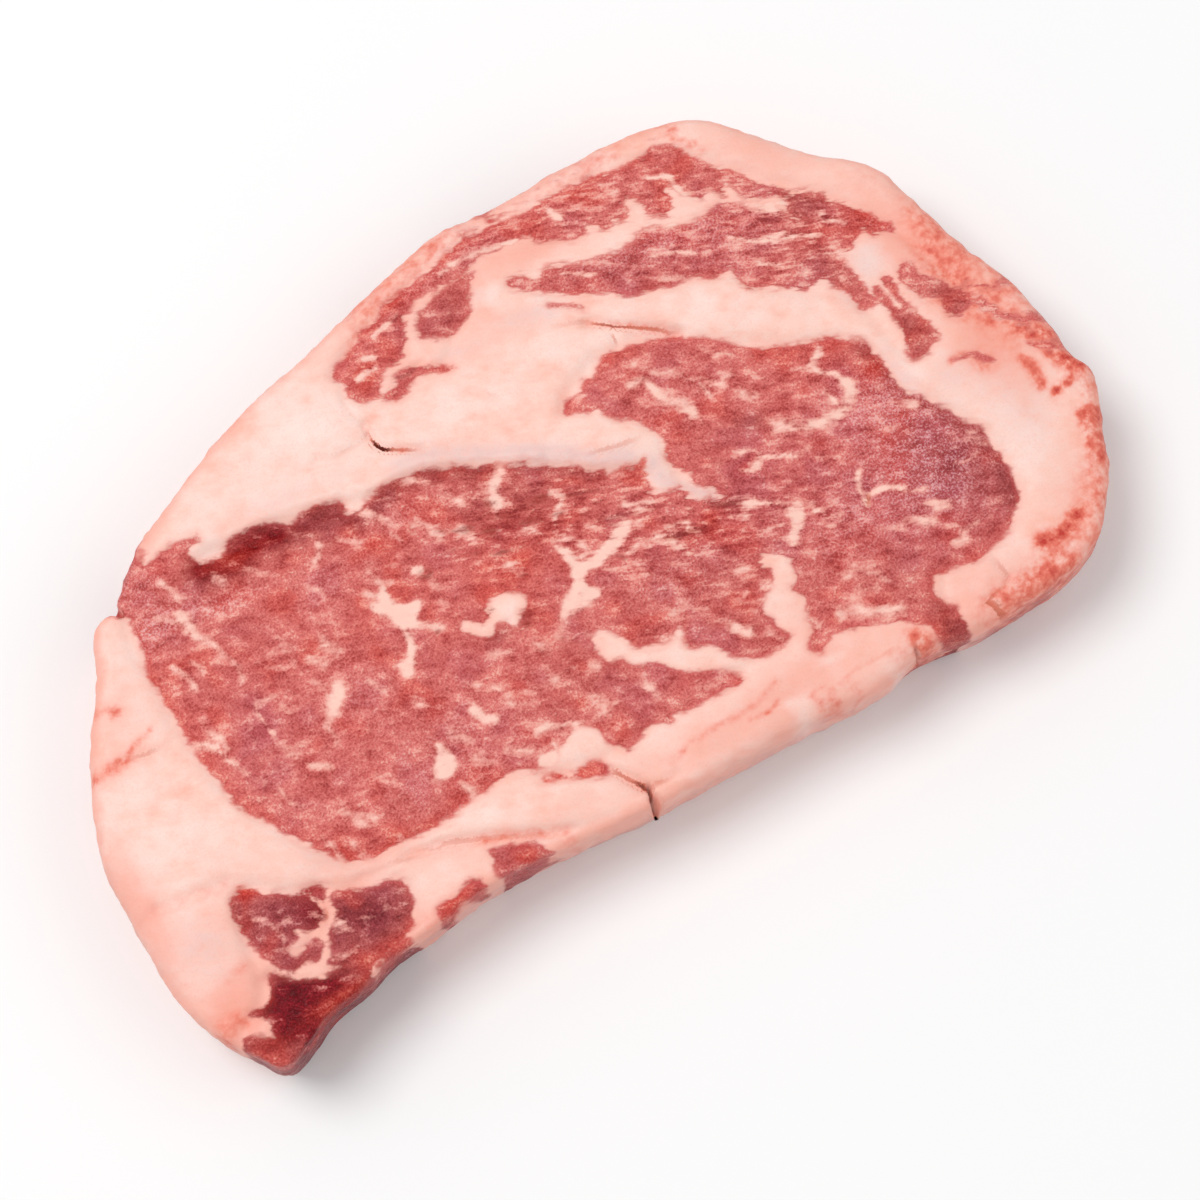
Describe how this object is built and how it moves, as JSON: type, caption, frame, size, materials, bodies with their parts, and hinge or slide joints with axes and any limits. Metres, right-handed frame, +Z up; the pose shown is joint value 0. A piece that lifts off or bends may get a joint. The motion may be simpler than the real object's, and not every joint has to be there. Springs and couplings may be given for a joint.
{
  "type": "raw ribeye steak",
  "caption": "Raw boneless ribeye: one uneven slice of marbled beef with its cap muscle, tail and fat rim, lying flat on its lower cut face.",
  "frame": {"origin": "middle of the slice's box, on the flat resting face", "axes": "+X along the slice from the thin tail to the thick cap end, +Y towards the fat-capped back edge, +Z up out of the upper cut face"},
  "size_m": [0.2026, 0.1184, 0.024],
  "materials": {
    "meat": "moist, satin, marbled"
  },
  "bodies": {
    "root": {"ribeye": "meat"}
  },
  "joints": []
}
